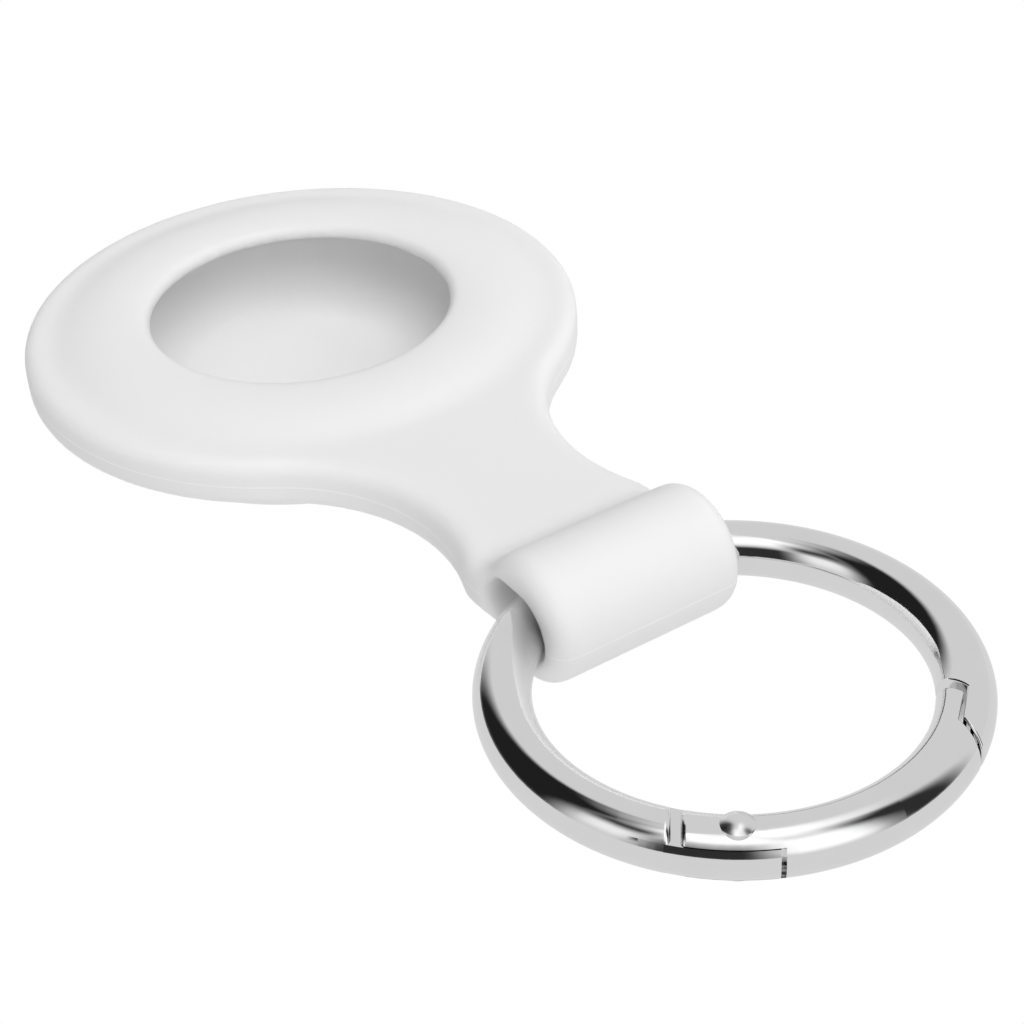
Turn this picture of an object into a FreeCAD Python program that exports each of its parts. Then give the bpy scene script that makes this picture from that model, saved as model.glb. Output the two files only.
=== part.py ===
"""Tracker tag holder: a soft moulded pouch with a strap and a loop, and a sprung gate ring in the loop.

Millimetres. The origin is the middle of the pouch's flat underside, +X runs along the strap to the ring,
Y runs along the loop's hole and +Z points out of the pouch's window.
"""
import FreeCAD, Part
import math
import os

# Tag that the pouch is moulded for
tag_diameter = 31.9
tag_clearance = 0.1

# Pouch
plate_thickness = 3.5
plate_edge_radius = 1.2
underside_depth = 4.3
underside_fillet = 0.8
floor_thickness = 1.2
pocket_wall = 1.2
pocket_floor_radius = 4.4
pocket_straight = 0.4
lip_overhang = 5.19
lip_radius = 0.65
crest_slope = 19.5
crest_run = 4.0
crest_foot_run = 1.6
rim_flat_below = 0.754
rim_flat_above = 0.35

# Strap from the pouch to the loop
strap_width = 11.6
strap_side_radius = 13.3
strap_corner_radius = 3.0
strap_straight = 0.3

# Loop across the strap's end
loop_overhang = 1.1
loop_rise = 2.85
loop_drop = 2.0
loop_crease_radius = 2.0
loop_underside_radius = 3.2
hole_backing = 3.4994
hole_wall = 1.0
hole_mouth_radius = 1.5

# Gate ring
ring_mean_diameter = 26.16
wire_diameter = 3.4
wire_play = 1.0

# Gate hinge: angles are seen from above, counted from +X towards +Y
rivet_angle = -37.1
tongue_reach = 1.5
tongue_bevel = 0.7
tongue_side_clearance = 0.05
tongue_end_clearance = 0.28
cheek_thickness = 0.63
cheek_reach = 2.95
cheek_gap = 0.5
cheek_edge_radius = 0.3
rivet_diameter = 1.1
rivet_clearance = 0.05
rivet_head_diameter = 1.9
rivet_head_sink = 0.33
rivet_head_rise = 0.36
rivet_tail_rise = 0.18

# Gate latch: the gate's nose lies inside the ring's nose
latch_inner_angle = 60.0
latch_crown_angle = 43.7
latch_step_angle = 31.9
latch_outer_angle = 23.6
latch_step_rise = 0.15
latch_gap = 0.2
latch_nose_gap = 0.5
latch_edge_radius = 0.12

# Return spring and plunger in the gate
plunger_wall = 0.38
plunger_diameter = 1.1
plunger_length = 2.0
plunger_tip_gap = 0.03
bore_clearance = 0.05
bore_depth = 4.0
spring_wire_diameter = 0.2
spring_side_clearance = 0.08
spring_turns = 4

# Pouch from its middle outwards: pocket, shoulder under the pocket, fillet under the rim and the rim
plate_bottom = underside_depth
plate_top = plate_bottom + plate_thickness
pocket_radius = tag_diameter / 2 + tag_clearance
window_radius = pocket_radius - lip_overhang
shoulder_radius = pocket_floor_radius + pocket_wall
shoulder_x = pocket_radius - pocket_floor_radius
fillet_reach = shoulder_radius + underside_fillet
fillet_level = plate_bottom - underside_fillet
fillet_x = shoulder_x + math.sqrt(fillet_reach ** 2 - (shoulder_radius - fillet_level) ** 2)
crest_foot = fillet_x + rim_flat_below
crest_radius = crest_foot - crest_foot_run - crest_run
disc_radius = crest_foot + rim_flat_above + plate_edge_radius

# Strap's side arc, which runs off the disc, and the corner where it meets the loop's end
loop_half = strap_width / 2 + loop_overhang
side_y = strap_width / 2 + strap_side_radius
side_x = math.sqrt((disc_radius + strap_side_radius) ** 2 - side_y ** 2)
corner_y = loop_half - strap_corner_radius
corner_reach = strap_side_radius + strap_corner_radius
corner_x = side_x + math.sqrt(corner_reach ** 2 - (side_y - corner_y) ** 2)
strap_end = corner_x + strap_straight

# Loop's barrel, which two arcs join to the strap's top and underside
loop_radius = (plate_thickness + loop_rise + loop_drop) / 2
loop_length = 2 * loop_half
loop_bottom = plate_bottom - loop_drop
loop_height = loop_bottom + loop_radius
crease_height = plate_top + loop_crease_radius
crease_span = math.sqrt((loop_radius + loop_crease_radius) ** 2 - (crease_height - loop_height) ** 2)
underside_height = plate_bottom - loop_underside_radius
underside_span = math.sqrt((loop_radius + loop_underside_radius) ** 2 - (loop_height - underside_height) ** 2)
loop_distance = strap_end + max(crease_span, underside_span)

# Ring, and the hole in the loop, which is longer than high because the wire in it is bent
ring_radius = ring_mean_diameter / 2
wire_radius = wire_diameter / 2
past_wire = wire_diameter
wire_bow = ring_radius - math.sqrt(ring_radius ** 2 - loop_half ** 2)
hole_height = wire_diameter + 2 * wire_play
hole_level = loop_bottom + hole_wall + hole_height / 2
hole_distance = strap_end + hole_backing + wire_bow / 2
ring_distance = hole_distance - wire_bow / 2 + ring_radius

# Hinge, plunger and bore
tongue_end = tongue_reach + tongue_bevel
slot_end = tongue_end + tongue_end_clearance
slot_half = wire_radius - cheek_thickness
head_seat = wire_radius - rivet_head_sink
bore_radius = plunger_diameter / 2 + bore_clearance
plunger_offset = wire_radius - plunger_wall - bore_radius
tiny = 0.001


def point(x, y, z=0.0):
    return FreeCAD.Vector(x, y, z)


up = point(0, 0, 1)
along_hole = point(0, 1, 0)


def line(start, end):
    return Part.LineSegment(start, end).toShape()


def arc(start, middle, end):
    return Part.Arc(start, middle, end).toShape()


def arc_about(centre, start, end):
    """Arc from start to end about centre, the short way round."""
    radius = (start - centre).Length
    middle = (start - centre) + (end - centre)
    middle.normalize()
    return arc(start, centre + middle * radius, end)


def flat_face(edges):
    return Part.Face(Part.Wire(edges))


def prism(edges, bottom, height):
    """Solid over a closed flat outline, from the level bottom upwards."""
    face = flat_face(edges)
    face.translate(point(0, 0, bottom))
    return face.extrude(point(0, 0, height))


def polygon(corners):
    return [line(a, b) for a, b in zip(corners, corners[1:] + corners[:1])]


# Soft moulding


def underside_profile():
    """From the middle of the underside, round the shoulder and out to where the plate begins."""
    middle = point(0, 0, 0)
    flat_edge = point(shoulder_x, 0, 0)
    shoulder_centre = flat_edge + point(0, 0, shoulder_radius)
    fillet_centre = point(fillet_x, 0, fillet_level)
    shoulder_end = shoulder_centre + (fillet_centre - shoulder_centre) * (shoulder_radius / fillet_reach)
    fillet_end = fillet_centre + point(0, 0, underside_fillet)
    plate_start = point(crest_foot, 0, plate_bottom)
    return [
        line(middle, flat_edge),
        arc_about(shoulder_centre, flat_edge, shoulder_end),
        arc_about(fillet_centre, shoulder_end, fillet_end),
        line(fillet_end, plate_start),
    ]


def crest_profile():
    """From the plate over the low crest and round the window's lip; gives also the level under the lip."""
    slope = math.radians(crest_slope)
    curve = crest_run / math.sin(slope)
    foot_curve = crest_foot_run / math.sin(slope)
    foot = point(crest_foot, 0, plate_top)
    foot_centre = foot + point(0, 0, foot_curve)
    lean = point(math.sin(slope), 0, math.cos(slope))
    turn_point = foot_centre - lean * foot_curve
    crest_centre = turn_point - lean * curve
    crest_top = crest_centre + point(0, 0, curve)

    lip_x = window_radius + lip_radius
    lip_rise = math.sqrt((curve - lip_radius) ** 2 - (crest_radius - lip_x) ** 2)
    lip_centre = point(lip_x, 0, crest_centre.z + lip_rise)
    lip_way = lip_centre - crest_centre
    lip_way.normalize()
    lip_top = crest_centre + lip_way * curve
    lip_inside = lip_centre - point(lip_radius, 0, 0)
    lip_under = lip_centre - point(0, 0, lip_radius)
    edges = [
        line(point(crest_foot, 0, plate_bottom), foot),
        arc_about(foot_centre, foot, turn_point),
        arc_about(crest_centre, turn_point, crest_top),
        arc_about(crest_centre, crest_top, lip_top),
        arc_about(lip_centre, lip_top, lip_inside),
        arc_about(lip_centre, lip_inside, lip_under),
    ]
    return edges, lip_under


def pocket_profile(lip_under):
    """From under the lip, down the pocket's wall and in over its floor."""
    roof_radius = lip_under.z - floor_thickness - pocket_floor_radius - pocket_straight
    roof_edge = point(pocket_radius - roof_radius, 0, lip_under.z)
    roof_centre = roof_edge - point(0, 0, roof_radius)
    wall_top = roof_centre + point(roof_radius, 0, 0)
    floor_edge = point(shoulder_x, 0, floor_thickness)
    floor_centre = floor_edge + point(0, 0, pocket_floor_radius)
    wall_bottom = floor_centre + point(pocket_floor_radius, 0, 0)
    floor_middle = point(0, 0, floor_thickness)
    return [
        line(lip_under, roof_edge),
        arc_about(roof_centre, roof_edge, wall_top),
        line(wall_top, wall_bottom),
        arc_about(floor_centre, wall_bottom, floor_edge),
        line(floor_edge, floor_middle),
        line(floor_middle, point(0, 0, 0)),
    ]


def pouch():
    """The turned part of the moulding: underside, floor, pocket wall, crest and window lip."""
    crest_edges, lip_under = crest_profile()
    edges = underside_profile() + crest_edges + pocket_profile(lip_under)
    return flat_face(edges).revolve(point(0, 0, 0), up, 360)


def strap_side(sign):
    """One side of the strap, from the disc to the loop: where it starts, its edges and where it ends."""
    side_centre = point(side_x, sign * side_y)
    corner_centre = point(corner_x, sign * corner_y)
    on_disc = side_centre * (disc_radius / (disc_radius + strap_side_radius))
    on_corner = side_centre + (corner_centre - side_centre) * (strap_side_radius / corner_reach)
    straight = point(corner_x, sign * loop_half)
    end = point(strap_end, sign * loop_half)
    edges = [
        arc_about(side_centre, on_disc, on_corner),
        arc_about(corner_centre, on_corner, straight),
        line(straight, end),
    ]
    return on_disc, edges, end


def at_strap_end(edge):
    return abs(edge.BoundBox.XMin - strap_end) < tiny and edge.BoundBox.XLength < tiny


def plate():
    """Rim and strap: one flat plate with rounded edges, holed where the pouch goes through."""
    start, edges, end = strap_side(1)
    far_start, far_edges, far_end = strap_side(-1)
    outline = [arc(start, point(-disc_radius, 0), far_start), line(end, far_end)] + edges + far_edges
    solid = prism(Part.__sortEdges__(outline), plate_bottom, plate_thickness)
    rims = [e for e in solid.Edges if e.BoundBox.ZLength < tiny and not at_strap_end(e)]
    solid = solid.makeFillet(plate_edge_radius, rims)
    return solid.cut(Part.makeCylinder(crest_foot, plate_thickness, point(0, 0, plate_bottom), up))


def loop():
    """Barrel across the strap's end, run into the strap above and below, with rounded ends."""
    y = -loop_half
    top = point(strap_end, y, plate_top)
    bottom = point(strap_end, y, plate_bottom)
    barrel = point(loop_distance, y, loop_height)
    front = barrel + point(loop_radius, 0, 0)
    crease = point(loop_distance - crease_span, y, crease_height)
    crease_start = crease - point(0, 0, loop_crease_radius)
    crease_end = barrel + (crease - barrel) * (loop_radius / (loop_radius + loop_crease_radius))
    under = point(loop_distance - underside_span, y, underside_height)
    under_start = under + point(0, 0, loop_underside_radius)
    under_end = barrel + (under - barrel) * (loop_radius / (loop_radius + loop_underside_radius))
    edges = [
        arc_about(crease, crease_start, crease_end),
        arc(crease_end, front, under_end),
        arc_about(under, under_end, under_start),
        line(bottom, top),
    ]
    for begin, end in ((top, crease_start), (under_start, bottom)):
        if (end - begin).Length > tiny:
            edges.append(line(begin, end))
    solid = flat_face(Part.__sortEdges__(edges)).extrude(point(0, loop_length, 0))
    rims = [e for e in solid.Edges if e.BoundBox.YLength < tiny and not at_strap_end(e)]
    return solid.makeFillet(plate_edge_radius, rims)


def hole_profile(x, sign):
    """Half of the hole's long section, above or below its middle, with a rounded mouth at each end."""
    narrow = hole_height / 2
    wide = narrow + hole_mouth_radius
    neck = loop_half - hole_mouth_radius

    def place(y, rise):
        return point(x, y, hole_level + sign * rise)

    return flat_face([
        line(place(-loop_length, 0), place(-loop_length, wide)),
        line(place(-loop_length, wide), place(-loop_half, wide)),
        arc_about(place(-neck, wide), place(-loop_half, wide), place(-neck, narrow)),
        line(place(-neck, narrow), place(neck, narrow)),
        arc_about(place(neck, wide), place(neck, narrow), place(loop_half, wide)),
        line(place(loop_half, wide), place(loop_length, wide)),
        line(place(loop_length, wide), place(loop_length, 0)),
        line(place(loop_length, 0), place(-loop_length, 0)),
    ])


def loop_hole():
    """Long round hole for the ring, right through the loop."""
    front = hole_distance + wire_bow / 2
    back = hole_distance - wire_bow / 2
    straight = point(wire_bow, 0, 0)
    pieces = [
        hole_profile(front, 1).revolve(point(front, 0, hole_level), along_hole, 180),
        hole_profile(back, 1).revolve(point(back, 0, hole_level), along_hole * -1, 180),
        hole_profile(back, -1).extrude(straight),
    ]
    return hole_profile(back, 1).extrude(straight).fuse(pieces).removeSplitter()


def holder_body():
    """The whole soft moulding in one piece."""
    body = plate().fuse([pouch(), loop()]).removeSplitter()
    return body.cut(loop_hole())


# Gate ring


def on_ring(radial, degrees):
    """Point seen from above, radial outside the ring's mean circle."""
    turn = math.radians(degrees)
    radius = ring_radius + radial
    return point(ring_distance + radius * math.cos(turn), radius * math.sin(turn))


rivet_place = on_ring(0, rivet_angle)
outward = rivet_place - point(ring_distance, 0)
outward.normalize()
ahead = up.cross(outward)


def hinge_plan(forward, out):
    """Point seen from above, counted from the rivet: forward along the gate, out from the ring's middle."""
    return rivet_place + ahead * forward + outward * out


def at_hinge(forward, out, rise=0.0):
    """The same, rise above the ring's plane."""
    return hinge_plan(forward, out) + point(0, 0, hole_level + rise)


def plan_prism(edges, half_height):
    """Solid over an outline seen from above, half_height each side of the ring's plane."""
    return prism(edges, hole_level - half_height, 2 * half_height)


def upright(radius, low, high):
    """Cylinder on the rivet's axis, between two levels counted from the ring's plane."""
    return Part.makeCylinder(radius, high - low, at_hinge(0, 0, low), up)


def whole_ring():
    return Part.makeTorus(ring_radius, wire_radius, point(ring_distance, 0, hole_level), up)


def gate_sector(tail, gap, nose_gap):
    """Everything from the hinge's tail cut round to the latch, set back by gap and at its nose by nose_gap."""
    back = math.degrees(gap / ring_radius)
    nose_back = math.degrees(nose_gap / ring_radius)
    tail_in = hinge_plan(-tail, -past_wire)
    tail_out = hinge_plan(-tail, past_wire)
    nose_in = on_ring(-past_wire, latch_inner_angle - nose_back)
    crown = on_ring(-gap, latch_crown_angle - nose_back)
    step = on_ring(latch_step_rise - gap, latch_step_angle - back)
    nose_out = on_ring(past_wire, latch_outer_angle - back)
    return plan_prism([
        line(tail_out, tail_in),
        arc(tail_in, on_ring(-past_wire, 0), nose_in),
        line(nose_in, crown),
        line(crown, step),
        line(step, nose_out),
        arc(nose_out, on_ring(past_wire, 0), tail_out),
    ], past_wire)


def round_cuts(solid, tail):
    """Rounds the edges of the cuts at the hinge's tail and at the latch, which lies on the side towards +Y."""
    def on_tail(vertex):
        return abs((vertex.Point - rivet_place).dot(ahead) + tail) < tiny

    tail_edges = [e for e in solid.Edges if all(on_tail(v) for v in e.Vertexes)]
    solid = solid.makeFillet(cheek_edge_radius, tail_edges)
    latch_edges = [e for e in solid.Edges if all(v.Y > tiny for v in e.Vertexes)]
    return solid.makeFillet(latch_edge_radius, latch_edges)


def tongue():
    """Flat tongue that runs from the ring's fixed part in between the gate's cheeks."""
    root = -cheek_reach - cheek_gap - wire_radius
    plan = polygon([
        hinge_plan(root, -past_wire),
        hinge_plan(tongue_reach, -past_wire),
        hinge_plan(tongue_reach, 0),
        hinge_plan(tongue_end, tongue_bevel),
        hinge_plan(tongue_end, past_wire),
        hinge_plan(root, past_wire),
    ])
    return whole_ring().common(plan_prism(plan, slot_half - tongue_side_clearance))


def ring_body():
    """The ring's fixed part, with the hinge tongue at one end and the latch nose at the other."""
    tail = cheek_reach + cheek_gap
    body = round_cuts(whole_ring().cut(gate_sector(tail, 0, 0)), tail)
    body = body.fuse(tongue()).removeSplitter()
    return body.cut(upright(rivet_diameter / 2 + rivet_clearance, -past_wire, past_wire))


def ring_gate():
    """The gate: two cheeks over the tongue, a bore for the spring and a nose at the latch."""
    slot_plan = polygon([
        hinge_plan(-cheek_reach - past_wire, -past_wire),
        hinge_plan(slot_end, -past_wire),
        hinge_plan(slot_end, past_wire),
        hinge_plan(-cheek_reach - past_wire, past_wire),
    ])
    gate = round_cuts(whole_ring().common(gate_sector(cheek_reach, latch_gap, latch_nose_gap)), cheek_reach)
    return gate.cut([
        plan_prism(slot_plan, slot_half),
        upright(rivet_diameter / 2, -past_wire, past_wire),
        upright(rivet_head_diameter / 2, head_seat, past_wire),
        upright(rivet_head_diameter / 2, -past_wire, -head_seat),
        Part.makeCylinder(bore_radius, bore_depth, at_hinge(slot_end, -plunger_offset), ahead),
    ])


def dome_centre(edge_level, top_level):
    """Level of the middle of the sphere that caps the rivet's head between two levels."""
    rise = top_level - edge_level
    return top_level - ((rivet_head_diameter / 2) ** 2 + rise ** 2) / (2 * rise)


def gate_rivet():
    """Rivet through both cheeks and the tongue, with a low dome on top and a tail that is flush below."""
    head = rivet_head_diameter / 2
    shank = rivet_diameter / 2
    head_edge = wire_radius
    head_top = wire_radius + rivet_head_rise
    tail_edge = wire_radius - rivet_tail_rise
    tail_top = wire_radius

    def place(across, level):
        return at_hinge(0, across, level)

    head_centre = place(0, dome_centre(head_edge, head_top))
    tail_centre = place(0, -dome_centre(tail_edge, tail_top))
    edges = [
        line(place(0, -tail_top), place(0, head_top)),
        arc_about(head_centre, place(0, head_top), place(head, head_edge)),
        line(place(head, head_edge), place(head, head_seat)),
        line(place(head, head_seat), place(shank, head_seat)),
        line(place(shank, head_seat), place(shank, -head_seat)),
        line(place(shank, -head_seat), place(head, -head_seat)),
        line(place(head, -head_seat), place(head, -tail_edge)),
        arc_about(tail_centre, place(head, -tail_edge), place(0, -tail_top)),
    ]
    return flat_face(edges).revolve(rivet_place, up, 360)


def gate_plunger():
    """Round-nosed pin that the spring pushes against the tongue."""
    tip_radius = plunger_diameter / 2
    tip = at_hinge(tongue_reach + plunger_tip_gap + tip_radius, -plunger_offset)
    rod = Part.makeCylinder(tip_radius, plunger_length - tip_radius, tip, ahead)
    return rod.fuse(Part.makeSphere(tip_radius, tip)).removeSplitter()


def bend(start, corner, end):
    """Arc from start to end whose end tangents meet at corner."""
    half_chord = (end - start) * 0.5
    middle = start + half_chord
    drop = corner - middle
    sagitta = half_chord.Length * math.tan(math.atan2(drop.Length, half_chord.Length) / 2)
    drop.normalize()
    return arc(start, middle + drop * sagitta, end)


def biarc(start, start_way, end, end_way):
    """Two arcs that leave start along start_way and reach end along end_way."""
    chord = end - start
    across = chord.dot(start_way + end_way)
    turn = 2 * (1 - start_way.dot(end_way))
    length = (math.sqrt(across ** 2 + turn * chord.dot(chord)) - across) / turn
    first_corner = start + start_way * length
    last_corner = end - end_way * length
    join = (first_corner + last_corner) * 0.5
    return [bend(start, first_corner, join), bend(join, last_corner, end)]


def gate_spring():
    """Compression spring between the plunger and the bottom of the gate's bore."""
    wire = spring_wire_diameter / 2
    coil_radius = bore_radius - spring_side_clearance - wire
    first = tongue_reach + plunger_tip_gap + plunger_length + wire
    last = slot_end + bore_depth - wire
    climb = (last - first) / (2 * math.pi * spring_turns)
    quarter = math.pi / 2

    def on_coil(turn):
        middle = at_hinge(first + climb * turn, -plunger_offset)
        return middle + outward * (coil_radius * math.cos(turn)) + up * (coil_radius * math.sin(turn))

    def way(turn):
        slope = ahead * climb + outward * (-coil_radius * math.sin(turn)) + up * (coil_radius * math.cos(turn))
        slope.normalize()
        return slope

    edges = []
    for step in range(4 * spring_turns):
        a, b = step * quarter, (step + 1) * quarter
        edges += biarc(on_coil(a), way(a), on_coil(b), way(b))
    section = Part.Wire(Part.makeCircle(wire, on_coil(0), way(0)))
    print("gate_spring least gap to itself, mm:", round(least_gap(on_coil), 3))
    return Part.Wire(edges).makePipeShell([section], True, False)


def least_gap(on_coil):
    """Smallest clear distance between stretches of the spring that are over half a turn apart."""
    steps_per_turn = 24
    places = [on_coil(2 * math.pi * n / steps_per_turn) for n in range(steps_per_turn * spring_turns + 1)]
    least = math.inf
    for n, place in enumerate(places):
        for other in places[n + steps_per_turn // 2:]:
            least = min(least, place.distanceToPoint(other))
    return least - spring_wire_diameter


def main():
    os.makedirs("parts", exist_ok=True)
    pieces = {
        "holder_body": holder_body(),
        "ring_body": ring_body(),
        "ring_gate": ring_gate(),
        "gate_rivet": gate_rivet(),
        "gate_plunger": gate_plunger(),
        "gate_spring": gate_spring(),
    }
    for name, shape in pieces.items():
        solid, = shape.Solids
        print(name, solid.isValid(), round(solid.Volume, 2), solid.BoundBox)
        solid.exportStep("parts/" + name + ".step")


main()
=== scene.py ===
"""Dresses the tracker tag holder: soft white moulding, polished gate ring, and the stage it is shown on."""
import math

import bpy
from bpy.props import FloatProperty, FloatVectorProperty, PointerProperty
from mathutils import Matrix, Vector


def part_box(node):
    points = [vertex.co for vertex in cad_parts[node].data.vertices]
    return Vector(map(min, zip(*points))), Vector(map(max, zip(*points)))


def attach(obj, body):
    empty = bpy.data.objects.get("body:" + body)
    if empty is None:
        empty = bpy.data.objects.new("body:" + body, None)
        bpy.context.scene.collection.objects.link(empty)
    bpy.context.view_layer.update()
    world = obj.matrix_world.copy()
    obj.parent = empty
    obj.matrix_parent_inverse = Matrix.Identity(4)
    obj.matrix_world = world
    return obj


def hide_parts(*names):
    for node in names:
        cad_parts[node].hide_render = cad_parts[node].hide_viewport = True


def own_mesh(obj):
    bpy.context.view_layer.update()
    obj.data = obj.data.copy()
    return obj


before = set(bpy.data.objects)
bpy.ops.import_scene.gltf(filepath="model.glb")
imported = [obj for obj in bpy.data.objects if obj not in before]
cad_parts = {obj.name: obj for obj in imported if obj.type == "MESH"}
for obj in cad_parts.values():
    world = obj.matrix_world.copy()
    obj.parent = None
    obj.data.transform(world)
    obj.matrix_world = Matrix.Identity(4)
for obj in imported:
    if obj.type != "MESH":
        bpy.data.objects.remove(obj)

bl_info = {
    "name": "Tag holder",
    "version": (1, 0, 0),
    "blender": (4, 5, 0),
    "location": "View3D > Sidebar > Tag holder",
    "description": "Models the soft pouch of a tracker tag holder, finishes its ring and sets the stage",
    "category": "Object",
}

MM = 0.001
UP = Vector((0, 0, 1))
ACROSS = Vector((0, 1, 0))
ORIGIN = Vector((0, 0, 0))
QUARTER = math.pi / 2

# Fineness of the moulding's mesh, and how far its creases are softened
ROUND_STEPS = 180
FLARE_STEPS = 8
SKIN_VOXEL = 0.27 * MM
SOFTENING = 0.5
SOFTENING_PASSES = 4

# Distances that count as none, and how far the plate reaches into the pouch
LEVEL_ENOUGH = 0.01 * MM
SAME_POINT = 0.005 * MM
SAME_WIRE_POINT = 0.0002 * MM
PLATE_OVERLAP = 0.6 * MM

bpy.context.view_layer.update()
holder_low, holder_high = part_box("holder_body")


def size(name, description, value):
    """A length that the user may change, in metres."""
    return FloatProperty(name=name, description=description, default=value, min=0.0, precision=5,
                         unit="LENGTH")


def share(name, description, value):
    """A number from 0 to 1 that the user may change."""
    return FloatProperty(name=name, description=description, default=value, min=0.0, max=1.0,
                         subtype="FACTOR")


def paint(name, description, value):
    """A colour that the user may change."""
    return FloatVectorProperty(name=name, description=description, default=value, min=0.0, max=1.0,
                               size=3, subtype="COLOR")


def turn(name, description, degrees):
    """An angle that the user may change."""
    return FloatProperty(name=name, description=description, default=math.radians(degrees), subtype="ANGLE")


class PouchSizes(bpy.types.PropertyGroup):
    """Turned part of the moulding."""
    disc: size("Disc radius", "Middle of the pouch to the rim's outside", -holder_low[0])
    rim_edge: size("Rim edge", "Rounding of the rim's edges", 0.95 * MM)
    rim_low: size("Rim underside", "Height of the rim's underside", 4.3 * MM)
    rim_high: size("Rim top", "Height of the rim's flat top", 7.8 * MM)
    pocket: size("Pocket radius", "Middle of the pouch to the pocket's wall", 16.05 * MM)
    wall: size("Wall", "Thickness of the pocket's floor and wall", 1.2 * MM)
    floor_round: size("Floor rounding", "Rounding between the pocket's floor and wall", 4.4 * MM)
    roof_round: size("Roof rounding", "Rounding between the pocket's wall and roof", 1.3 * MM)
    under_fillet: size("Underside fillet", "Hollow rounding where the pouch meets the rim", 0.8 * MM)
    window: size("Window radius", "Middle of the pouch to the window's lip", 10.86 * MM)
    lip: size("Lip rounding", "Rounding of the window's lip", 0.65 * MM)
    lip_depth: size("Lip depth", "Height of the lip's straight face", 0.33 * MM)
    crest: size("Crest radius", "Middle of the pouch to the crest's highest line", 12.85 * MM)
    crest_turn: size("Crest turn", "Middle of the pouch to where the crest is steepest", 16.85 * MM)
    crest_foot: size("Crest foot", "Middle of the pouch to where the crest begins", 18.45 * MM)
    crest_slope: turn("Crest slope", "Steepest slope of the crest", 19.5)


class StrapSizes(bpy.types.PropertyGroup):
    """Strap and loop of the moulding."""
    waist: size("Waist", "Width of the strap at its narrowest", 11.6 * MM)
    side: size("Side rounding", "Radius of the strap's hollow sides", 13.3 * MM)
    corner: size("Corner rounding", "Radius where the strap meets the loop's ends", 3.0 * MM)
    loop_half: size("Half length of the loop", "Middle of the strap to the loop's end", 6.9 * MM)
    loop_low: size("Loop underside", "Height of the loop's lowest line", 2.3 * MM)
    loop_high: size("Loop top", "Height of the loop's highest line", holder_high[2])
    crease: size("Crease", "Radius where the strap's top runs into the loop", 3.2 * MM)
    underside: size("Underside", "Radius where the strap's underside runs into the loop", 3.2 * MM)
    end_edge: size("End edge", "Rounding of the loop's ends", 1.3 * MM)
    hole_wide: size("Hole width", "Width of the loop's hole along the strap", 6.1 * MM)
    hole_high: size("Hole height", "Height of the loop's hole", 4.5 * MM)
    hole_setback: size("Hole setback", "Loop's middle to the hole's middle", 0.92 * MM)
    hole_level: size("Hole level", "Height of the hole's middle", 6.0 * MM)
    mouth: size("Mouth rounding", "Rounding of the hole's rims", 0.7 * MM)


class Finishes(bpy.types.PropertyGroup):
    """Colours and gloss."""
    silicone: paint("Silicone", "Colour of the soft moulding", (0.86, 0.86, 0.86))
    silicone_rough: share("Silicone roughness", "Dullness of the soft moulding", 0.58)
    parting_level: size("Parting line", "Height of the mould's parting line", 6.0 * MM)
    chrome: paint("Chrome", "Colour of the ring's plating", (0.84, 0.84, 0.845))
    chrome_rough: share("Chrome roughness", "Dullness of the ring's plating", 0.07)
    rivet_rough: share("Rivet roughness", "Dullness of the rivet's hammered head", 0.24)
    steel: paint("Steel", "Colour of the spring and plunger", (0.58, 0.58, 0.59))
    steel_rough: share("Steel roughness", "Dullness of the spring and plunger", 0.28)


class StageView(bpy.types.PropertyGroup):
    """Camera and light."""
    azimuth: turn("Azimuth", "Camera's bearing round the object", 58.43)
    elevation: turn("Elevation", "Camera's height over the horizon", 35.39)
    roll: turn("Roll", "Camera's tilt about its own line of sight", -3.63)
    distance: size("Distance", "Camera to the point it looks at", 140.30 * MM)
    target: FloatVectorProperty(name="Target", description="Point that the camera looks at",
                                default=(26.25 * MM, 0.72 * MM, 4.3 * MM), subtype="TRANSLATION")
    lens: FloatProperty(name="Lens", description="Focal length in millimetres", default=75.79, min=1.0)


class TagHolder(bpy.types.PropertyGroup):
    """All that the user may change."""
    pouch: PointerProperty(type=PouchSizes)
    strap: PointerProperty(type=StrapSizes)
    finish: PointerProperty(type=Finishes)
    stage: PointerProperty(type=StageView)


# Drawing outlines with a pen: lines are extruded and arcs are spun from one vertex


def deselect():
    """Leaves no object selected."""
    bpy.ops.object.select_all(action="DESELECT")


def pick(piece):
    """Makes piece the only one selected, and the active one."""
    deselect()
    piece.select_set(True)
    bpy.context.view_layer.objects.active = piece


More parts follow.
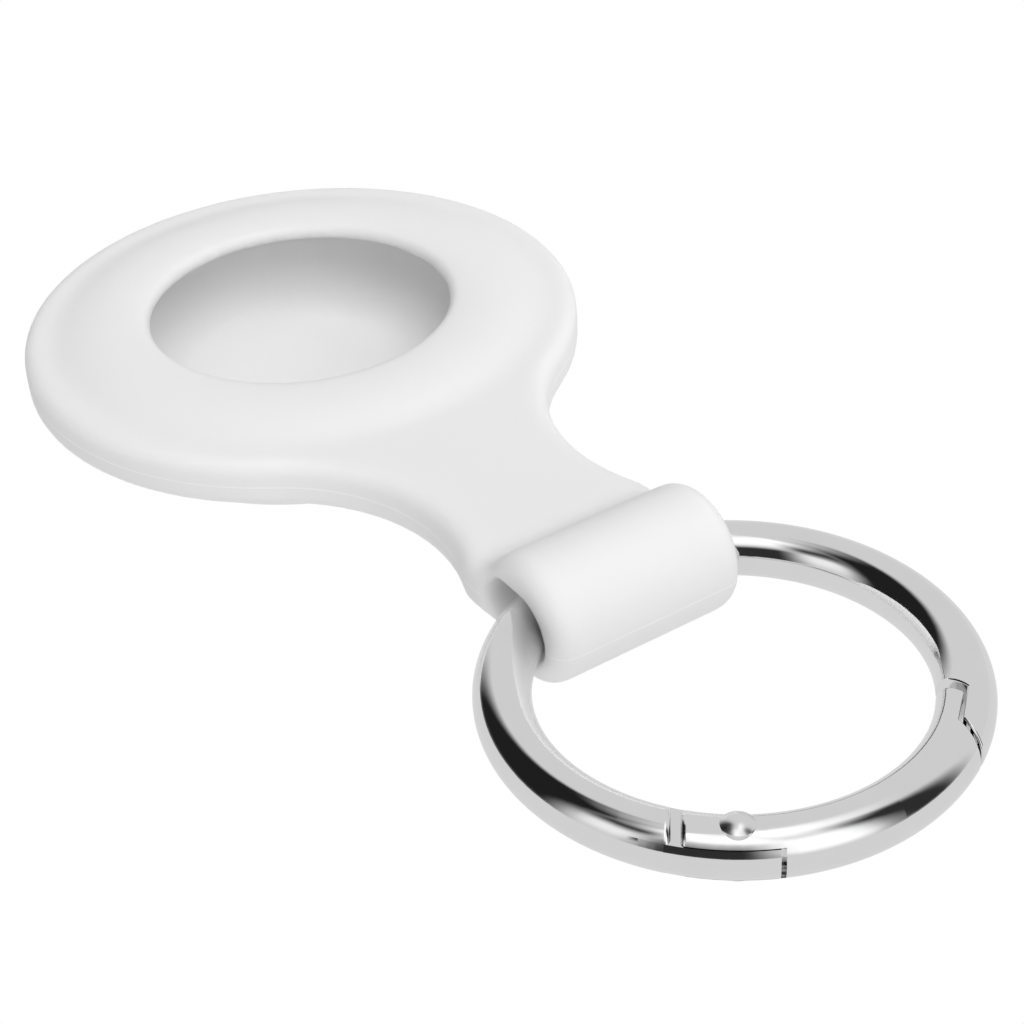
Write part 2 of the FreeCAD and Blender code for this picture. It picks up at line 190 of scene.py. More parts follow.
class Pen:
    """A vertex that draws an outline as it is extruded along lines and spun round arcs."""

    def __init__(self, name, start):
        deselect()
        bpy.ops.mesh.primitive_plane_add(size=MM, location=(0, 0, 0))
        self.object = bpy.context.object
        self.object.name = name
        bpy.ops.object.mode_set(mode="EDIT")
        bpy.ops.mesh.select_mode(type="VERT")
        bpy.ops.mesh.merge(type="CENTER")
        bpy.ops.transform.translate(value=start)
        self.here = start

    def line(self, end):
        bpy.ops.mesh.extrude_region_move(TRANSFORM_OT_translate={"value": end - self.here})
        self.here = end

    def arc(self, centre, end, steps):
        """Round centre to end, the short way."""
        first = self.here - centre
        last = end - centre
        axis = first.cross(last).normalized()
        bpy.ops.mesh.spin(steps=steps, angle=-first.angle(last), center=centre, axis=axis)
        self.here = end

    def close(self):
        """Joins the outline's ends."""
        bpy.ops.mesh.select_all(action="SELECT")
        bpy.ops.mesh.remove_doubles(threshold=SAME_POINT)

    def fill(self):
        self.close()
        bpy.ops.mesh.edge_face_add()

    def solid(self, way):
        """Fills the outline, draws it out along way and gives the solid's object."""
        self.fill()
        bpy.ops.mesh.extrude_region_move(TRANSFORM_OT_translate={"value": way})
        return self.finish()

    def finish(self):
        bpy.ops.mesh.select_all(action="SELECT")
        bpy.ops.mesh.normals_make_consistent(inside=False)
        bpy.ops.object.mode_set(mode="OBJECT")
        return self.object


def select_edges(piece, wanted):
    """Opens piece in edit mode with only the edges selected for which wanted says so."""
    pick(piece)
    bpy.ops.object.mode_set(mode="EDIT")
    bpy.ops.mesh.select_mode(type="EDGE")
    bpy.ops.mesh.select_all(action="DESELECT")
    bpy.ops.object.mode_set(mode="OBJECT")
    places = [v.co for v in piece.data.vertices]
    for edge in piece.data.edges:
        edge.select = wanted(*(places[v] for v in edge.vertices))
    bpy.ops.object.mode_set(mode="EDIT")


def round_edges(piece, radius, steps, wanted):
    """Rounds the wanted edges of piece."""
    select_edges(piece, wanted)
    bpy.ops.mesh.bevel(offset=radius, segments=steps, profile=0.5, affect="EDGES")
    bpy.ops.object.mode_set(mode="OBJECT")


def cut(piece, cutter):
    """Takes cutter away from piece, and keeps cutter."""
    change = piece.modifiers.new("cut", "BOOLEAN")
    change.operation = "DIFFERENCE"
    change.solver = "EXACT"
    change.object = cutter
    apply(piece, change)


def apply(piece, change):
    """Makes a modifier's change final."""
    pick(piece)
    bpy.ops.object.modifier_apply(modifier=change.name)


def drop(piece):
    """Deletes a piece that was only a tool."""
    pick(piece)
    bpy.ops.object.delete()


def on_way(start, end, distance):
    """Point at distance from start towards end."""
    return start + (end - start).normalized() * distance


# Soft moulding


def pouch_shell(sizes):
    """Underside, rim's inner part, crest, window lip and pocket, spun about the pouch's axis."""
    def at(x, z):
        return Vector((x, 0, z))

    shoulder = sizes.floor_round + sizes.wall
    shoulder_x = sizes.pocket - sizes.floor_round
    shoulder_centre = at(shoulder_x, shoulder)
    reach = shoulder + sizes.under_fillet
    fillet_z = sizes.rim_low - sizes.under_fillet
    fillet_centre = at(shoulder_x + math.sqrt(reach ** 2 - (shoulder - fillet_z) ** 2), fillet_z)

    lean = at(math.sin(sizes.crest_slope), math.cos(sizes.crest_slope))
    foot_curve = (sizes.crest_foot - sizes.crest_turn) / lean.x
    curve = (sizes.crest_turn - sizes.crest) / lean.x
    foot = at(sizes.crest_foot, sizes.rim_high)
    foot_centre = foot + UP * foot_curve
    turn_point = foot_centre - lean * foot_curve
    crest_centre = turn_point - lean * curve
    crest_top = crest_centre + UP * curve
    lip_x = sizes.window + sizes.lip
    lip_rise = math.sqrt((curve - sizes.lip) ** 2 - (sizes.crest - lip_x) ** 2)
    lip_centre = crest_centre + Vector((lip_x - sizes.crest, 0, lip_rise))
    roof = lip_centre.z - sizes.lip
    roof_centre = at(sizes.pocket - sizes.roof_round, roof - sizes.roof_round)
    floor_centre = at(shoulder_x, sizes.wall + sizes.floor_round)

    pen = Pen("pouch_shell", ORIGIN)
    pen.line(at(shoulder_x, 0))
    pen.arc(shoulder_centre, on_way(shoulder_centre, fillet_centre, shoulder), 12)
    pen.arc(fillet_centre, fillet_centre + UP * sizes.under_fillet, 4)
    pen.line(at(sizes.crest_foot, sizes.rim_low))
    pen.line(foot)
    pen.arc(foot_centre, turn_point, 8)
    pen.arc(crest_centre, crest_top, 8)
    pen.arc(crest_centre, on_way(crest_centre, lip_centre, curve), 6)
    pen.arc(lip_centre, lip_centre - Vector((sizes.lip, 0, 0)), 8)
    pen.line(at(sizes.window, lip_centre.z - sizes.lip_depth))
    pen.line(at(sizes.pocket - sizes.roof_round, roof))
    pen.arc(roof_centre, roof_centre + Vector((sizes.roof_round, 0, 0)), 8)
    pen.line(floor_centre + Vector((sizes.floor_round, 0, 0)))
    pen.arc(floor_centre, floor_centre - UP * sizes.floor_round, 8)
    pen.line(at(0, sizes.wall))
    bpy.ops.mesh.select_all(action="SELECT")
    bpy.ops.mesh.spin(steps=ROUND_STEPS, angle=2 * math.pi, center=ORIGIN, axis=UP)
    pen.close()
    return pen.finish()


def strap_line(pouch, strap):
    """Centres of the strap's side arc and corner arc, as places on the side towards +Y."""
    side_y = strap.waist / 2 + strap.side
    side_x = math.sqrt((pouch.disc + strap.side) ** 2 - side_y ** 2)
    corner_y = strap.loop_half - strap.corner
    corner_x = side_x + math.sqrt((strap.side + strap.corner) ** 2 - (side_y - corner_y) ** 2)
    return Vector((side_x, side_y, 0)), Vector((corner_x, corner_y, 0))


def loop_place(pouch, strap):
    """The loop's middle, and the centres of its crease and of its underside's hollow."""
    radius = (strap.loop_high - strap.loop_low) / 2
    level = strap.loop_low + radius
    middle = holder_high[0] - radius
    crease_z = pouch.rim_high + strap.crease
    crease_span = math.sqrt((radius + strap.crease) ** 2 - (crease_z - level) ** 2)
    under_z = pouch.rim_low - strap.underside
    under_span = math.sqrt((radius + strap.underside) ** 2 - (level - under_z) ** 2)

    def at(x, z):
        return Vector((x, -strap.loop_half, z))

    return at(middle, level), at(middle - crease_span, crease_z), at(middle - under_span, under_z)


def plate(pouch, strap):
    """Rim and strap: one plate with rounded edges, open where the pouch goes through."""
    side, corner = strap_line(pouch, strap)
    barrel = loop_place(pouch, strap)[0]
    low = UP * pouch.rim_low

    def flip(place):
        return Vector((place.x, -place.y, 0))

    end = Vector((barrel.x, strap.loop_half, 0))
    straight = Vector((corner.x, strap.loop_half, 0))
    on_corner = on_way(side, corner, strap.side)
    on_disc = on_way(ORIGIN, side, pouch.disc)
    pen = Pen("plate", flip(end) + low)
    pen.line(end + low)
    pen.line(straight + low)
    pen.arc(corner + low, on_corner + low, 10)
    pen.arc(side + low, on_disc + low, 24)
    pen.arc(low, Vector((-pouch.disc, 0, 0)) + low, 60)
    pen.arc(low, flip(on_disc) + low, 60)
    pen.arc(flip(side) + low, flip(on_corner) + low, 24)
    pen.arc(flip(corner) + low, flip(straight) + low, 10)
    pen.line(flip(end) + low)
    slab = pen.solid(UP * (pouch.rim_high - pouch.rim_low))
    round_edges(slab, pouch.rim_edge, 8, lambda a, b: abs(a.z - b.z) < LEVEL_ENOUGH)

    deselect()
    bpy.ops.mesh.primitive_cylinder_add(vertices=ROUND_STEPS, radius=pouch.crest_foot - PLATE_OVERLAP,
                                        depth=4 * pouch.rim_high)
    middle = bpy.context.object
    cut(slab, middle)
    drop(middle)
    return slab


def loop_block(pouch, strap):
    """Barrel across the strap's end, run into the strap above and below."""
    barrel, crease, under = loop_place(pouch, strap)
    radius = (strap.loop_high - strap.loop_low) / 2
    bottom = under + UP * strap.underside
    pen = Pen("loop_block", bottom)
    pen.line(crease - UP * strap.crease)
    pen.arc(crease, on_way(barrel, crease, radius), 10)
    pen.arc(barrel, barrel + UP * radius, 8)
    pen.arc(barrel, barrel + Vector((radius, 0, 0)), 14)
    pen.arc(barrel, barrel - UP * radius, 14)
    pen.arc(barrel, on_way(barrel, under, radius), 8)
    pen.arc(under, bottom, 10)
    block = pen.solid(ACROSS * (2 * strap.loop_half))
    round_edges(block, strap.end_edge, 6, lambda a, b: abs(a.y - b.y) < LEVEL_ENOUGH)
    return block


def hole_core(pouch, strap):
    """The loop's hole as a solid: a long round bar that flares at both ends."""
    barrel = loop_place(pouch, strap)[0]
    radius = strap.hole_high / 2
    reach = Vector(((strap.hole_wide - strap.hole_high) / 2, 0, 0))
    middle = Vector((barrel.x - strap.hole_setback, 0, strap.hole_level))
    pen = Pen("hole_core", middle + reach + UP * radius)
    side = Vector((radius, 0, 0))
    pen.arc(middle + reach, middle + reach + side, 10)
    pen.arc(middle + reach, middle + reach - UP * radius, 10)
    pen.line(middle - reach - UP * radius)
    pen.arc(middle - reach, middle - reach - side, 10)
    pen.arc(middle - reach, middle - reach + UP * radius, 10)
    pen.line(middle + reach + UP * radius)
    pen.close()
    neck = strap.loop_half - strap.mouth
    bpy.ops.mesh.extrude_region_move(TRANSFORM_OT_translate={"value": ACROSS * neck})
    grown = 0.0
    for step in range(1, FLARE_STEPS + 1):
        swing = QUARTER * step / FLARE_STEPS
        ahead = strap.mouth * (math.sin(swing) - math.sin(swing - QUARTER / FLARE_STEPS))
        growth = strap.mouth * (1 - math.cos(swing))
        wide = (strap.hole_wide + 2 * growth) / (strap.hole_wide + 2 * grown)
        high = (strap.hole_high + 2 * growth) / (strap.hole_high + 2 * grown)
        bpy.ops.mesh.extrude_region_move(TRANSFORM_OT_translate={"value": ACROSS * ahead})
        bpy.ops.transform.resize(value=(wide, 1, high), center_override=middle)
        grown = growth
    bpy.ops.mesh.extrude_region_move(TRANSFORM_OT_translate={"value": ACROSS * strap.loop_half})
    bpy.ops.mesh.edge_face_add()
    core = pen.finish()
    mirror = core.modifiers.new("other_end", "MIRROR")
    mirror.use_axis = (False, True, False)
    mirror.use_clip = True
    apply(core, mirror)
    return core


def moulding_mesh(pouch, strap):
    """The whole soft moulding as one skin, with every crease a little softened."""
    core = hole_core(pouch, strap)
    pieces = [plate(pouch, strap), loop_block(pouch, strap)]
    for piece in pieces:
        cut(piece, core)
    drop(core)
    body = pouch_shell(pouch)
    deselect()
    for piece in pieces:
        piece.select_set(True)
    body.select_set(True)
    bpy.context.view_layer.objects.active = body
    bpy.ops.object.join()
    body.name = "moulding"
    skin = body.modifiers.new("skin", "REMESH")
    skin.mode = "VOXEL"
    skin.voxel_size = SKIN_VOXEL
    skin.use_smooth_shade = True
    apply(body, skin)
    soften = body.modifiers.new("soften", "SMOOTH")
    soften.factor = SOFTENING
    soften.iterations = SOFTENING_PASSES
    apply(body, soften)
    bpy.ops.object.shade_smooth()
    return body


# Nodes that materials and light are put together from


def band(nodes, links, source, low, high, soft):
    """Mask that is 1 where source lies between low and high, with soft edges."""
    masks = []
    for edge, rising in ((low, True), (high, False)):
        node = nodes.new("ShaderNodeMapRange")
        node.interpolation_type = "SMOOTHSTEP"
        node.inputs["From Min"].default_value = edge - soft
        node.inputs["From Max"].default_value = edge + soft
        node.inputs["To Min"].default_value = 0.0 if rising else 1.0
        node.inputs["To Max"].default_value = 1.0 if rising else 0.0
        links.new(source, node.inputs["Value"])
        masks.append(node.outputs["Result"])
    return calculate(nodes, links, "MULTIPLY", *masks)


def calculate(nodes, links, operation, first, second):
    """First and second may be sockets or numbers."""
    node = nodes.new("ShaderNodeMath")
    node.operation = operation
    for socket, value in zip(node.inputs, (first, second)):
        if isinstance(value, (int, float)):
            socket.default_value = value
        else:
            links.new(value, socket)
    return node.outputs["Value"]


def choose(nodes, links, mask, off, on):
    """Blends two values by a mask."""
    node = nodes.new("ShaderNodeMix")
    for name, value in (("Factor", mask), ("A", off), ("B", on)):
        if isinstance(value, (int, float)):
            node.inputs[name].default_value = value
        else:
            links.new(value, node.inputs[name])
    return node.outputs["Result"]


# Materials

# Parting line: half its width, the softness of its edges, how far out it begins, how far it keeps from the
# middle of the loop's hole, and the scale and strength of its breaks
PARTING_HALF = 0.05 * MM
PARTING_SOFT = 0.035 * MM
PARTING_OUTSIDE = 18.0 * MM
PARTING_GAP = 3.5 * MM
PARTING_BREAKS = 380.0
PARTING_FAINT, PARTING_STRONG = 0.1, 1.3

# Specks: how close they lie, their size in their cell, and the share of cells that have none
SPECK_SCALE = 210.0
SPECK_WIDTH = 0.024
SPECK_FREE = 0.6

# Silicone: scales of its mottle and grain, unevenness of its gloss, and its tones beside the plain colour
SILICONE_MOTTLE, SILICONE_GRAIN = 90.0, 4200.0
SILICONE_UNEVEN = 0.04
MOTTLE_DARK, MOTTLE_LIGHT = 0.985, 1.01
# The parting line's lighter tone is a painted highlight for light caught along its ridge; the specks'
# darker tone is their own colour
PARTING_HIGHLIGHT_TONE, SPECK_TONE = 1.12, 0.72

# Silicone: strength and depth of its grain and of the parting ridge, and how light sinks into it
GRAIN_STRENGTH, GRAIN_DEPTH = 0.12, 0.02 * MM
RIDGE_STRENGTH, RIDGE_DEPTH = 0.2, 0.03 * MM
MILKINESS = 0.5
LIGHT_SINKS = 1.5 * MM
SILICONE_IOR = 1.41

# Metals: unevenness of the gloss, scales of mottle and grain, and depth of the mottle
METALS = {
    "polished_chrome": (0.03, 420.0, 2500.0, 0.07 * MM),
    "peened_chrome": (0.05, 900.0, 6000.0, 0.04 * MM),
    "drawn_steel": (0.06, 900.0, 9000.0, 0.01 * MM),
}
METAL_DARK, METAL_LIGHT = 0.97, 1.02
METAL_STRENGTH = 0.1


def blank_material(name):
    """A new material, with its shader, its nodes and its links."""
    material = bpy.data.materials.new(name)
    material.use_nodes = True
    nodes = material.node_tree.nodes
    return material, nodes["Principled BSDF"], nodes, material.node_tree.links


def fine_grain_group():
    """Group: a slow mottle and a fine grain over a surface, as masks from 0 to 1."""
    tree = bpy.data.node_groups.new("surface_grain", "ShaderNodeTree")
    for name, kind, where in (
        ("Mottle Scale", "NodeSocketFloat", "INPUT"),
        ("Grain Scale", "NodeSocketFloat", "INPUT"),
        ("Mottle", "NodeSocketFloat", "OUTPUT"),
        ("Grain", "NodeSocketFloat", "OUTPUT"),
    ):
        tree.interface.new_socket(name=name, in_out=where, socket_type=kind)
    nodes, links = tree.nodes, tree.links
    source = nodes.new("NodeGroupInput")
    result = nodes.new("NodeGroupOutput")
    place = nodes.new("ShaderNodeTexCoord")
    for name, detail in (("Mottle", 2.0), ("Grain", 3.0)):
        noise = nodes.new("ShaderNodeTexNoise")
        noise.inputs["Detail"].default_value = detail
        links.new(place.outputs["Object"], noise.inputs["Vector"])
        links.new(source.outputs[name + " Scale"], noise.inputs["Scale"])
        links.new(noise.outputs["Fac"], result.inputs[name])
    return tree


def grain_node(nodes, mottle_scale, grain_scale):
    """The group of mottle and grain, at the scales that a material needs."""
    node = nodes.new("ShaderNodeGroup")
    node.node_tree = bpy.data.node_groups.get("surface_grain") or fine_grain_group()
    node.inputs["Mottle Scale"].default_value = mottle_scale
    node.inputs["Grain Scale"].default_value = grain_scale
    return node


def spread(nodes, links, source, low, high):
    """Brings a mask into the range from low to high."""
    node = nodes.new("ShaderNodeMapRange")
    node.inputs["To Min"].default_value = low
    node.inputs["To Max"].default_value = high
    links.new(source, node.inputs["Value"])
    return node.outputs["Result"]


def shade(nodes, links, mask, dark, light):
    """Mixes two colours by a mask."""
    node = nodes.new("ShaderNodeMix")
    node.data_type = "RGBA"
    node.inputs["A"].default_value = (*dark, 1)
    node.inputs["B"].default_value = (*light, 1)
    links.new(mask, node.inputs["Factor"])
    return node.outputs["Result"]


def tint(nodes, links, mask, colour, mark):
    """Lays a mark's colour over another where the mask says so."""
    node = nodes.new("ShaderNodeMix")
    node.data_type = "RGBA"
    links.new(mask, node.inputs["Factor"])
    links.new(colour, node.inputs["A"])
    node.inputs["B"].default_value = (*(min(level, 1.0) for level in mark), 1)
    return node.outputs["Result"]


def bump(nodes, links, height, strength, distance):
    """Turns a mask into a slight relief."""
    node = nodes.new("ShaderNodeBump")
    node.inputs["Strength"].default_value = strength
    node.inputs["Distance"].default_value = distance
    links.new(height, node.inputs["Height"])
    return node


def parting_mask(nodes, links, place, strap, level):
    """Thin broken line round the outside at the height where the mould's halves met."""
    apart = nodes.new("ShaderNodeSeparateXYZ")
    links.new(place, apart.inputs["Vector"])
    flat = nodes.new("ShaderNodeCombineXYZ")
    links.new(apart.outputs["X"], flat.inputs["X"])
    links.new(apart.outputs["Y"], flat.inputs["Y"])
    reach = nodes.new("ShaderNodeVectorMath")
    reach.operation = "LENGTH"
    links.new(flat.outputs["Vector"], reach.inputs[0])
    line = band(nodes, links, apart.outputs["Z"], level - PARTING_HALF, level + PARTING_HALF, PARTING_SOFT)
    outside = calculate(nodes, links, "GREATER_THAN", reach.outputs["Value"], PARTING_OUTSIDE)
    hole_middle = holder_high[0] - (strap.loop_high - strap.loop_low) / 2 - strap.hole_setback
    from_hole = calculate(nodes, links, "SUBTRACT", apart.outputs["X"], hole_middle)
    either_way = calculate(nodes, links, "ABSOLUTE", from_hole, 0.0)
    past_hole = calculate(nodes, links, "GREATER_THAN", either_way, PARTING_GAP)
    breaks = nodes.new("ShaderNodeTexNoise")
    breaks.inputs["Scale"].default_value = PARTING_BREAKS
    links.new(place, breaks.inputs["Vector"])
    mask = spread(nodes, links, breaks.outputs["Fac"], PARTING_FAINT, PARTING_STRONG)
    for part in (line, outside, past_hole):
        mask = calculate(nodes, links, "MULTIPLY", mask, part)
    return mask


def speck_mask(nodes, links, place):
    """A few tiny round specks, scattered over the surface."""
    cells = nodes.new("ShaderNodeTexVoronoi")
    cells.inputs["Scale"].default_value = SPECK_SCALE
    links.new(place, cells.inputs["Vector"])
    near = calculate(nodes, links, "LESS_THAN", cells.outputs["Distance"], SPECK_WIDTH)
    draw = nodes.new("ShaderNodeSeparateColor")
    links.new(cells.outputs["Color"], draw.inputs["Color"])
    some = calculate(nodes, links, "GREATER_THAN", draw.outputs["Red"], SPECK_FREE)
    return calculate(nodes, links, "MULTIPLY", near, some)


def silicone_material(finish, strap):
    """Dull white rubber that light sinks into, with its parting line (a real ridge, also painted lighter as
    a highlight) and a few specks.
    """
    material, shader, nodes, links = blank_material("soft_silicone")
    place = nodes.new("ShaderNodeTexCoord").outputs["Object"]
    grain = grain_node(nodes, SILICONE_MOTTLE, SILICONE_GRAIN)
    parting = parting_mask(nodes, links, place, strap, finish.parting_level)
    specks = speck_mask(nodes, links, place)
    tone = Vector(finish.silicone)
    colour = shade(nodes, links, grain.outputs["Mottle"], tone * MOTTLE_DARK, tone * MOTTLE_LIGHT)
    # Painted highlight: the parting line is drawn lighter than the silicone, for light caught along its
    # ridge
    colour = tint(nodes, links, parting, colour, tone * PARTING_HIGHLIGHT_TONE)
    colour = tint(nodes, links, specks, colour, tone * SPECK_TONE)
    links.new(colour, shader.inputs["Base Color"])
    low, high = finish.silicone_rough - SILICONE_UNEVEN, finish.silicone_rough + SILICONE_UNEVEN
    links.new(spread(nodes, links, grain.outputs["Mottle"], low, high), shader.inputs["Roughness"])
    skin = bump(nodes, links, grain.outputs["Grain"], GRAIN_STRENGTH, GRAIN_DEPTH)
    ridge = bump(nodes, links, parting, RIDGE_STRENGTH, RIDGE_DEPTH)
    links.new(skin.outputs["Normal"], ridge.inputs["Normal"])
    links.new(ridge.outputs["Normal"], shader.inputs["Normal"])
    shader.inputs["Subsurface Weight"].default_value = MILKINESS
    shader.inputs["Subsurface Radius"].default_value = (1.0, 1.0, 1.0)
    shader.inputs["Subsurface Scale"].default_value = LIGHT_SINKS
    shader.inputs["IOR"].default_value = SILICONE_IOR
    return material


def metal_material(name, colour, rough):
    """Bare or plated metal with a slight unevenness."""
    uneven, mottle_scale, grain_scale, depth = METALS[name]
    material, shader, nodes, links = blank_material(name)
    grain = grain_node(nodes, mottle_scale, grain_scale)
    tone = Vector(colour)
    mottled = shade(nodes, links, grain.outputs["Mottle"], tone * METAL_DARK, tone * METAL_LIGHT)
    links.new(mottled, shader.inputs["Base Color"])
    gloss = spread(nodes, links, grain.outputs["Grain"], rough - uneven, rough + uneven)
    links.new(gloss, shader.inputs["Roughness"])
    skin = bump(nodes, links, grain.outputs["Mottle"], METAL_STRENGTH, depth)
    links.new(skin.outputs["Normal"], shader.inputs["Normal"])
    shader.inputs["Metallic"].default_value = 1.0
    return material


def wear_only(piece, material):
    """Gives piece this one material."""
    piece.data.materials.clear()
    piece.data.materials.append(material)


class TAG_OT_moulding(bpy.types.Operator):
    """Model the soft white moulding: pouch, rim, strap and loop in one skin"""
    bl_idname = "tag_holder.moulding"
    bl_label = "Soft moulding"

    def execute(self, context):
        sizes = context.scene.tag_holder
        body = moulding_mesh(sizes.pouch, sizes.strap)
        wear_only(body, silicone_material(sizes.finish, sizes.strap))
        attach(body, "holder")
        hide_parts("holder_body")
        return {"FINISHED"}


class TAG_OT_ring(bpy.types.Operator):
    """Give the ring, its gate and its rivet their polished plating"""
    bl_idname = "tag_holder.ring"
    bl_label = "Gate ring"

    def execute(self, context):
        finish = context.scene.tag_holder.finish
        chrome = metal_material("polished_chrome", finish.chrome, finish.chrome_rough)
        for name in ("ring_body", "ring_gate"):
            wear_only(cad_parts[name], chrome)
        peened = metal_material("peened_chrome", finish.chrome, finish.rivet_rough)
        wear_only(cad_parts["gate_rivet"], peened)
        return {"FINISHED"}


def spring_coil():
    """The spring's wire as a piece of its own, hung on the gate's body."""
    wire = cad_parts["gate_spring"]
    coil = bpy.data.objects.new("return_spring", wire.data.copy())
    bpy.context.scene.collection.objects.link(coil)
    pick(coil)
    bpy.ops.object.mode_set(mode="EDIT")
    bpy.ops.mesh.select_all(action="SELECT")
    bpy.ops.mesh.remove_doubles(threshold=SAME_WIRE_POINT)
    bpy.ops.object.mode_set(mode="OBJECT")
    bpy.ops.object.shade_smooth()
    return coil


class TAG_OT_spring(bpy.types.Operator):
    """Model the gate's spring as a coil of its own, and give it and the plunger their drawn steel"""
    bl_idname = "tag_holder.spring"
    bl_label = "Gate spring and plunger"

    def execute(self, context):
        finish = context.scene.tag_holder.finish
        steel = metal_material("drawn_steel", finish.steel, finish.steel_rough)
        wear_only(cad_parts["gate_plunger"], steel)
        coil = spring_coil()
        wear_only(coil, steel)
        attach(coil, "gate")
        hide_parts("gate_spring")
        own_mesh(coil)
        return {"FINISHED"}


# Stage

# Cards round the object, seen only in polished pieces: bearing from the camera and height over the horizon,
# each from and to in degrees, then brightness
STUDIO_CARDS = (
    (-70, 22, 14, 50, 0.98),
    (-60, 20, 52, 84, 1.25),
    (14, 50, 8, 58, 1.25),
    (20, 155, 68, 95, 1.25),
    (-145, -76, -4, 70, 0.015),
    (-80, -42, 42, 62, 0.04),
    (-42, 8, -8, 44, 0.03),
    (57, 92, -3, 64, 0.03),
)
CARD_SOFTNESS = 11.0
MIRRORED_DOME = 0.72
MIRRORED_FLOOR = 0.75

# Soft lamps, seen only by dull pieces: bearing from the camera and height over the horizon in degrees,
# then brightness
STUDIO_LAMPS = (
    ("key", 30, 62, 0.49),
    ("side", 110, 30, 0.2),
    ("front", 10, 30, 0.12),
    ("left", -60, 62, 0.106),
)
LAMP_SPREAD = 50
DOME_LIGHT = 0.25
FLOOR_LIGHT = 0.85
FLOOR_RADIUS = 1.5
FLOOR_DROP = 0.05 * MM
FLOOR_STEPS = 96
SENSOR_WIDTH = 36.0
NEAREST_SEEN = 0.01


def floor_material():
    """Lit from within, as a light table is, so that nothing throws a shadow on it."""
    material = bpy.data.materials.new("white_floor")
    material.use_nodes = True
    nodes, links = material.node_tree.nodes, material.node_tree.links
    nodes.remove(nodes["Principled BSDF"])
    glow = nodes.new("ShaderNodeEmission")
    seen = nodes.new("ShaderNodeLightPath")
    lit = choose(nodes, links, seen.outputs["Is Glossy Ray"], FLOOR_LIGHT, MIRRORED_FLOOR)
    links.new(choose(nodes, links, seen.outputs["Is Camera Ray"], lit, 1.0), glow.inputs["Strength"])
    links.new(glow.outputs["Emission"], nodes["Material Output"].inputs["Surface"])
    return material


def add_floor():
    """Round pale floor, just under the pouch."""
    deselect()
    bpy.ops.mesh.primitive_circle_add(vertices=FLOOR_STEPS, radius=FLOOR_RADIUS, fill_type="NGON",
                                      location=(0, 0, -FLOOR_DROP))
    floor = bpy.context.object
    floor.name = "floor"
    bpy.ops.object.transform_apply(location=True, rotation=False, scale=False)
    floor.data.materials.append(floor_material())


def sight(nodes, links, direction, way):
    """How far direction points along way, from -1 to 1."""
    node = nodes.new("ShaderNodeVectorMath")
    node.operation = "DOT_PRODUCT"
    node.inputs[1].default_value = way
    links.new(direction, node.inputs[0])
    return node.outputs["Value"]


def heading(view, bearing):
    """Level direction at a bearing in degrees, from the camera's side towards the camera's right."""
    angle = view.azimuth + math.radians(bearing)
    return Vector((math.sin(angle), -math.cos(angle), 0))


def towards(view, bearing, rise):
    """Direction at a bearing in degrees and at an angle over the horizon in radians."""
    return heading(view, bearing) * math.cos(rise) + UP * math.sin(rise)


def add_world(view):
    """Even pale dome, in which polished pieces see dark and white cards."""
    world = bpy.data.worlds.new("studio")
    world.use_nodes = True
    nodes, links = world.node_tree.nodes, world.node_tree.links
    rays = nodes.new("ShaderNodeLightPath")
    direction = nodes.new("ShaderNodeTexCoord").outputs["Generated"]
    front = sight(nodes, links, direction, heading(view, 0))
    side = sight(nodes, links, direction, heading(view, 90))
    bearing = calculate(nodes, links, "ARCTAN2", side, front)
    rise = calculate(nodes, links, "ARCSINE", sight(nodes, links, direction, UP), 0.0)

    soft = math.radians(CARD_SOFTNESS)
    mirrored = MIRRORED_DOME
    for left, right, low, high, glow in STUDIO_CARDS:
        card = calculate(nodes, links, "MULTIPLY",
                         band(nodes, links, bearing, math.radians(left), math.radians(right), soft),
                         band(nodes, links, rise, math.radians(low), math.radians(high), soft))
        mirrored = choose(nodes, links, card, mirrored, glow)
    glossy = choose(nodes, links, rays.outputs["Is Glossy Ray"], DOME_LIGHT, mirrored)
    seen = choose(nodes, links, rays.outputs["Is Camera Ray"], glossy, 1.0)
    links.new(seen, nodes["Background"].inputs["Strength"])
    nodes["Background"].inputs["Color"].default_value = (1, 1, 1, 1)
    bpy.context.scene.world = world


def add_lamps(view):
    """Wide soft lamps above; polished pieces see the cards instead of them."""
    for name, bearing, rise, strength in STUDIO_LAMPS:
        deselect()
        bpy.ops.object.light_add(type="SUN")
        lamp = bpy.context.object
        lamp.name = name
        lamp.data.energy = strength * math.pi
        lamp.data.angle = math.radians(LAMP_SPREAD)
        lamp.visible_glossy = False
        way = towards(view, bearing, math.radians(rise))
        lamp.rotation_euler = way.to_track_quat("Z", "Y").to_euler()


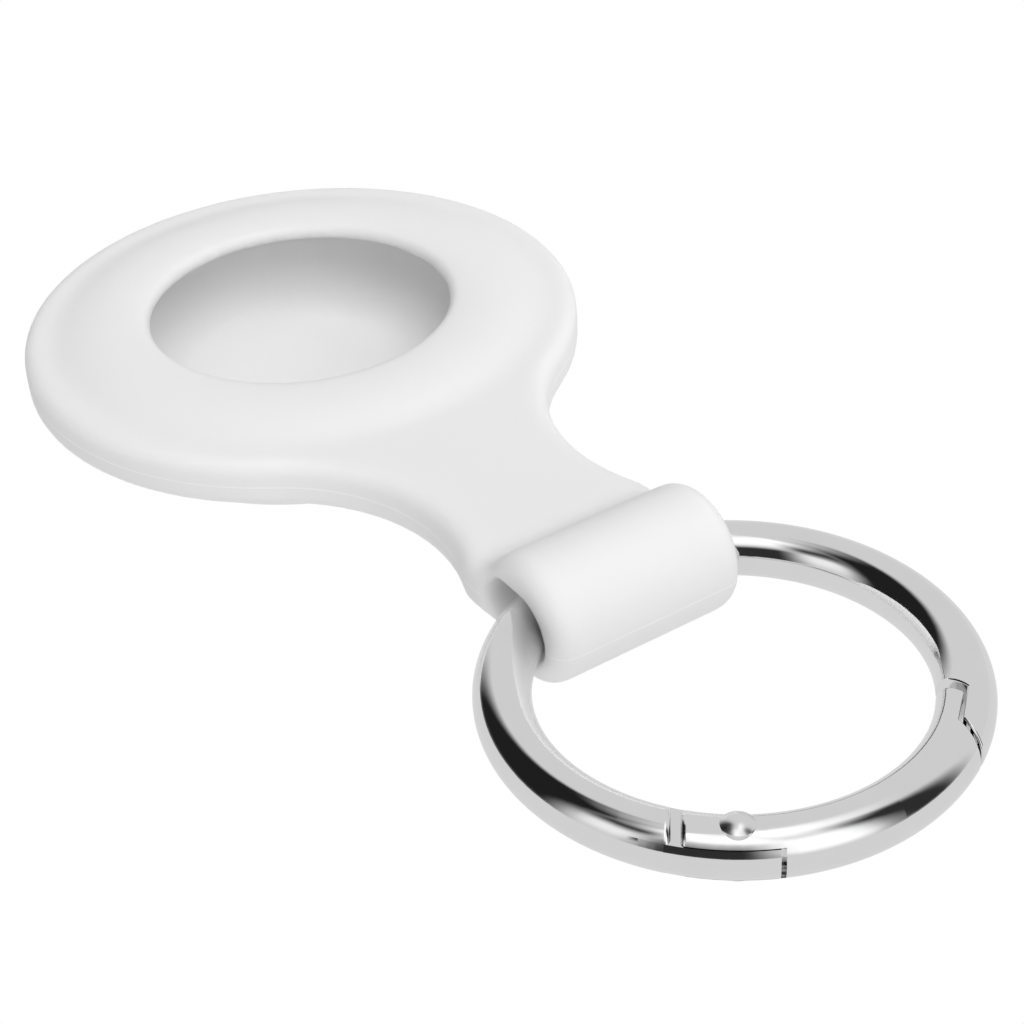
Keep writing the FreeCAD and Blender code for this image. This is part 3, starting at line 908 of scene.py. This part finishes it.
def add_camera(view):
    """Camera at the photograph's viewing angle."""
    back = towards(view, 0, view.elevation)
    right = UP.cross(back).normalized()
    above = back.cross(right)
    tilt_right = right * math.cos(view.roll) + above * math.sin(view.roll)
    tilt_above = above * math.cos(view.roll) - right * math.sin(view.roll)
    data = bpy.data.cameras.new("photo_view")
    data.lens = view.lens
    data.sensor_width = SENSOR_WIDTH
    data.clip_start = NEAREST_SEEN
    camera = bpy.data.objects.new("photo_view", data)
    bpy.context.scene.collection.objects.link(camera)
    place = Matrix((tilt_right, tilt_above, back)).transposed().to_4x4()
    place.translation = Vector(view.target) + back * view.distance
    camera.matrix_world = place
    bpy.context.scene.camera = camera


class TAG_OT_stage(bpy.types.Operator):
    """Set the pale floor, the soft light and the camera"""
    bl_idname = "tag_holder.stage"
    bl_label = "Stage"

    def execute(self, context):
        add_floor()
        add_world(context.scene.tag_holder.stage)
        add_lamps(context.scene.tag_holder.stage)
        add_camera(context.scene.tag_holder.stage)
        context.scene.view_settings.view_transform = "Standard"
        return {"FINISHED"}


class TAG_PT_panel(bpy.types.Panel):
    """The tag holder's steps, in the order they run"""
    bl_idname = "TAG_PT_panel"
    bl_label = "Tag holder"
    bl_space_type = "VIEW_3D"
    bl_region_type = "UI"
    bl_category = "Tag holder"

    def draw(self, context):
        for step in steps:
            self.layout.operator(step.bl_idname)
        sizes = context.scene.tag_holder
        for group in (sizes.pouch, sizes.strap, sizes.finish, sizes.stage):
            column = self.layout.column(align=True)
            for name in group.__annotations__:
                column.prop(group, name)


steps = (TAG_OT_moulding, TAG_OT_ring, TAG_OT_spring, TAG_OT_stage)
classes = (PouchSizes, StrapSizes, Finishes, StageView, TagHolder) + steps + (TAG_PT_panel,)


def register():
    for item in classes:
        bpy.utils.register_class(item)
    bpy.types.Scene.tag_holder = PointerProperty(type=TagHolder)


def unregister():
    del bpy.types.Scene.tag_holder
    for item in reversed(classes):
        bpy.utils.unregister_class(item)


def main():
    register()
    bpy.ops.tag_holder.moulding()
    bpy.ops.tag_holder.ring()
    bpy.ops.tag_holder.spring()
    bpy.ops.tag_holder.stage()


if __name__ == "__main__":
    main()
